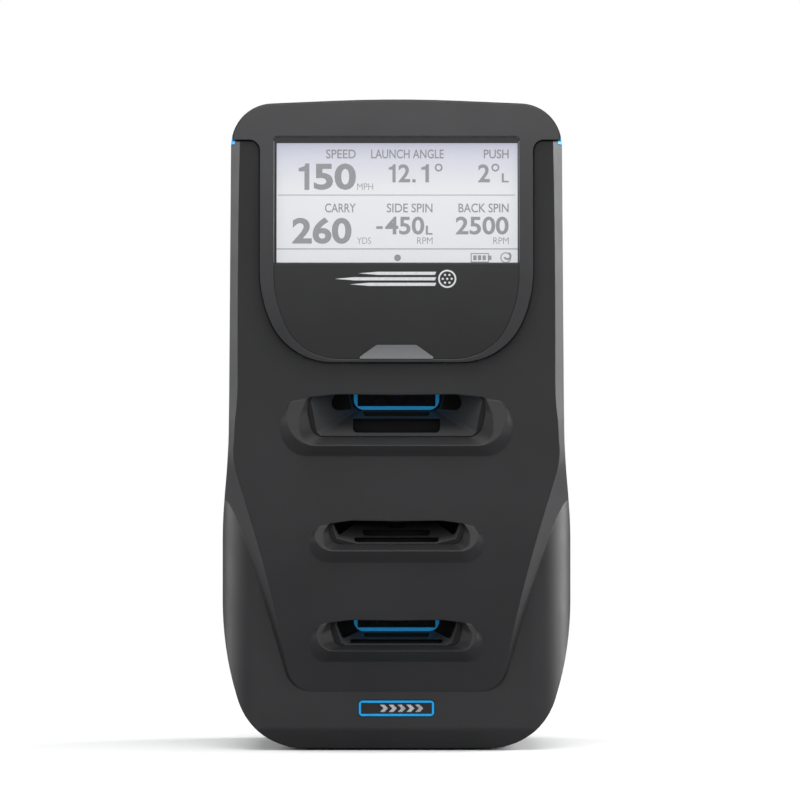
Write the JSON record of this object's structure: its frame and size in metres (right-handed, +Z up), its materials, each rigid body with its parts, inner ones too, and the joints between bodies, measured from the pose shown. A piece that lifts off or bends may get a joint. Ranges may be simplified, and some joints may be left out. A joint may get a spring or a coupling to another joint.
{
  "type": "launch monitor",
  "caption": "Upright camera-based golf launch monitor: sculpted two-part casing, display pod, hooded camera windows, carry recess, hinged port cover and levelling foot.",
  "frame": {"origin": "centre of the bounding box's underside, on the ground the feet stand on", "axes": "+Z up, -Y is the front with the display and camera windows, +X is to the right seen from the front"},
  "size_m": [0.167, 0.116, 0.31],
  "materials": {
    "casing_plastic": "fine spark-eroded texture, satin black",
    "accent_blue": "moulded-in blue, semi-gloss",
    "seal_rubber": "matte",
    "shroud_plastic": "satin black, light-absorbing",
    "window_glass": "infrared-pass tint",
    "lens_barrel": "matte black anodised",
    "lens_glass": "coated",
    "circuit_board": "green solder mask",
    "emitter_epoxy": "dark clear epoxy",
    "pod_plastic": "satin black",
    "fascia_gloss": "polished black",
    "display_clear": "clear, anti-glare",
    "status_lens": "translucent grey",
    "display_white": "reflective liquid-crystal panel",
    "sheet_steel": "pressed sheet",
    "badge_silver": "gloss black with a metallic mark",
    "chassis_aluminium": "machined",
    "chip_black": "moulded epoxy and nylon",
    "battery_wrap": "heat-shrink wrap",
    "cell_steel": "plated can",
    "cover_plastic": "satin black",
    "pin_steel": "zinc and black oxide",
    "button_rubber": "silicone, matte",
    "base_plastic": "satin black",
    "foot_rubber": "moulded rubber",
    "insert_brass": "turned"
  },
  "bodies": {
    "casing": {"badge_plate": "badge_silver", "badge_ring": "accent_blue", "base_plate": "base_plastic", "base_screws": "pin_steel", "battery_bracket": "sheet_steel", "battery_case": "battery_wrap", "battery_cells": "cell_steel", "button_board": "circuit_board", "button_switches": "chip_black", "camera_boards": "circuit_board", "camera_lens_elements": "lens_glass", "data_socket": "sheet_steel", "display_bezel": "pod_plastic", "display_board": "circuit_board", "display_fascia": "fascia_gloss", "display_gasket": "seal_rubber", "display_panel": "display_white", "display_tray": "sheet_steel", "display_window": "display_clear", "front_feet": "foot_rubber", "front_shell": "casing_plastic", "grip_pad": "foot_rubber", "heat_sink": "chassis_aluminium", "left_accent_strip": "accent_blue", "levelling_insert": "insert_brass", "lower_camera_lens": "lens_barrel", "lower_emitter_board": "circuit_board", "lower_infrared_emitters": "emitter_epoxy", "lower_window_glass": "window_glass", "lower_window_ring": "accent_blue", "lower_window_shroud": "shroud_plastic", "main_board": "circuit_board", "middle_camera_lens": "lens_barrel", "middle_window_glass": "window_glass", "middle_window_shroud": "shroud_plastic", "network_socket": "chip_black", "optical_spine": "chassis_aluminium", "port_cover_pin": "pin_steel", "power_board": "circuit_board", "power_socket": "chip_black", "processor_chips": "chip_black", "rear_shell": "casing_plastic", "right_accent_strip": "accent_blue", "shell_gasket": "seal_rubber", "shell_screws": "pin_steel", "status_light_board": "circuit_board", "status_light_lens": "status_lens", "upper_camera_lens": "lens_barrel", "upper_emitter_board": "circuit_board", "upper_infrared_emitters": "emitter_epoxy", "upper_window_glass": "window_glass", "upper_window_ring": "accent_blue", "upper_window_shroud": "shroud_plastic", "wireless_antenna": "chip_black"},
    "left_button": {"left_button": "button_rubber"},
    "power_button": {"power_button": "button_rubber"},
    "right_button": {"right_button": "button_rubber"},
    "port_cover": {"port_cover": "cover_plastic"},
    "levelling_foot": {"levelling_pad": "foot_rubber"},
    "levelling_stud": {"levelling_screw": "pin_steel"}
  },
  "joints": [
    {"name": "left_button_press", "type": "slide", "parent": "casing", "child": "left_button", "axis": [0, 0, -1], "range_m": [0, 0.0008], "stiffness_N_per_m": 900, "springref_m": -0.0004},
    {"name": "power_button_press", "type": "slide", "parent": "casing", "child": "power_button", "axis": [0, 0, -1], "range_m": [0, 0.0008], "stiffness_N_per_m": 900, "springref_m": -0.0004},
    {"name": "right_button_press", "type": "slide", "parent": "casing", "child": "right_button", "axis": [0, 0, -1], "range_m": [0, 0.0008], "stiffness_N_per_m": 900, "springref_m": -0.0004},
    {"name": "port_cover_hinge", "type": "hinge", "parent": "casing", "child": "port_cover", "pos_m": [0, 0.0554, 0.0246], "axis": [-1, 0, 0], "range_deg": [0, 95]},
    {"name": "foot_travel", "type": "slide", "parent": "casing", "child": "levelling_foot", "axis": [0, 0, -1], "range_m": [0, 0.006]},
    {"name": "foot_turn", "type": "hinge", "parent": "levelling_foot", "child": "levelling_stud", "pos_m": [0, 0.024, 0.004], "axis": [0, 0, 1], "range_deg": [0, 1728]}
  ],
  "couplings": [
    {"joint": "foot_turn", "follows": "foot_travel", "rad_per_m": 5026.6}
  ]
}
